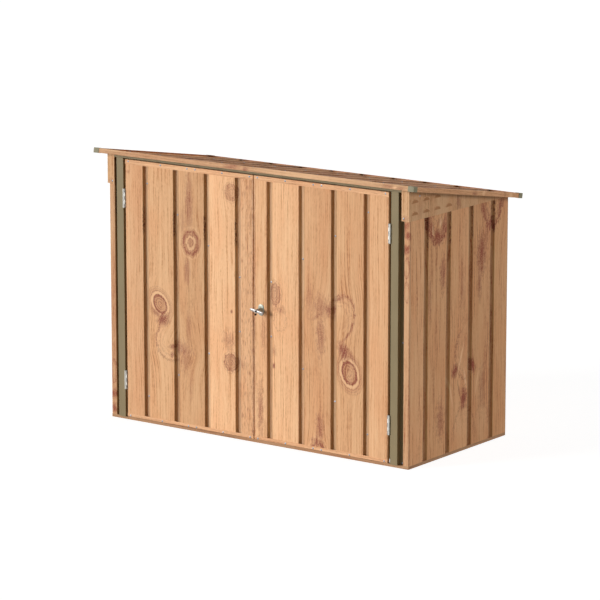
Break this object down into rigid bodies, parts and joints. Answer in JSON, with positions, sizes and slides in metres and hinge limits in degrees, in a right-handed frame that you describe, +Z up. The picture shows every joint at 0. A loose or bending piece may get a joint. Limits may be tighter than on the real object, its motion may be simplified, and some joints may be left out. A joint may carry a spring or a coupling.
{
  "type": "metal bike store",
  "caption": "Closed metal bike store with wood-print walls, a low sloping ribbed roof and hinged double doors that a turning handle locks.",
  "frame": {"origin": "on the ground, at the middle of the overall box seen from above", "axes": "+X to the right seen from the doors, +Y from the doors to the back, +Z up"},
  "size_m": [2.018, 0.991, 1.444],
  "materials": {
    "wood_print": "satin printed wood grain with knots on folded steel sheet",
    "olive_paint": "satin grey-green paint",
    "roof_sheet": "satin printed wood grain on ribbed sheet",
    "hinge_steel": "bright plated steel",
    "zinc_steel": "dull galvanized steel"
  },
  "bodies": {
    "shelter": {"sill_front": "wood_print", "sill_back": "wood_print", "sill_left": "wood_print", "sill_right": "wood_print", "left_wall": "wood_print", "right_wall": "wood_print", "back_wall": "wood_print", "left_post": "olive_paint", "right_post": "olive_paint", "header": "olive_paint", "left_wall_plate": "zinc_steel", "right_wall_plate": "zinc_steel", "back_wall_plate": "zinc_steel", "left_gable_trim": "wood_print", "right_gable_trim": "wood_print", "left_roof_sheet": "roof_sheet", "right_roof_sheet": "roof_sheet", "front_trim_left": "wood_print", "front_trim_right": "wood_print", "back_trim_left": "wood_print", "back_trim_right": "wood_print", "side_trim_left": "wood_print", "side_trim_right": "wood_print", "roof_corner_caps": "olive_paint", "left_frame_hinges": "hinge_steel", "right_frame_hinges": "hinge_steel"},
    "left_door": {"left_door_skin": "wood_print", "left_door_top_rail": "wood_print", "left_door_bottom_rail": "wood_print", "left_door_hinge_stile": "olive_paint", "left_door_meeting_stile": "olive_paint", "left_door_upper_brace": "olive_paint", "left_door_lower_brace": "olive_paint", "left_door_hinges": "hinge_steel"},
    "right_door": {"right_door_skin": "wood_print", "right_door_top_rail": "wood_print", "right_door_bottom_rail": "wood_print", "right_door_hinge_stile": "olive_paint", "right_door_meeting_stile": "olive_paint", "right_door_upper_brace": "olive_paint", "right_door_lower_brace": "olive_paint", "right_door_hinges": "hinge_steel", "lock_base": "hinge_steel"},
    "handle": {"lock_handle": "hinge_steel", "lock_cam": "zinc_steel"}
  },
  "joints": [
    {"name": "left_door_hinge", "type": "hinge", "parent": "shelter", "child": "left_door", "pos_m": [-0.8425, -0.4545, 0.707], "axis": [0, 0, -1], "range_deg": [0, 110]},
    {"name": "right_door_hinge", "type": "hinge", "parent": "shelter", "child": "right_door", "pos_m": [0.8425, -0.4545, 0.707], "axis": [0, 0, 1], "range_deg": [0, 110]},
    {"name": "handle_turn", "type": "hinge", "parent": "right_door", "child": "handle", "pos_m": [0.047, -0.4735, 0.70301], "axis": [0, 1, 0], "range_deg": [0, 90]}
  ]
}
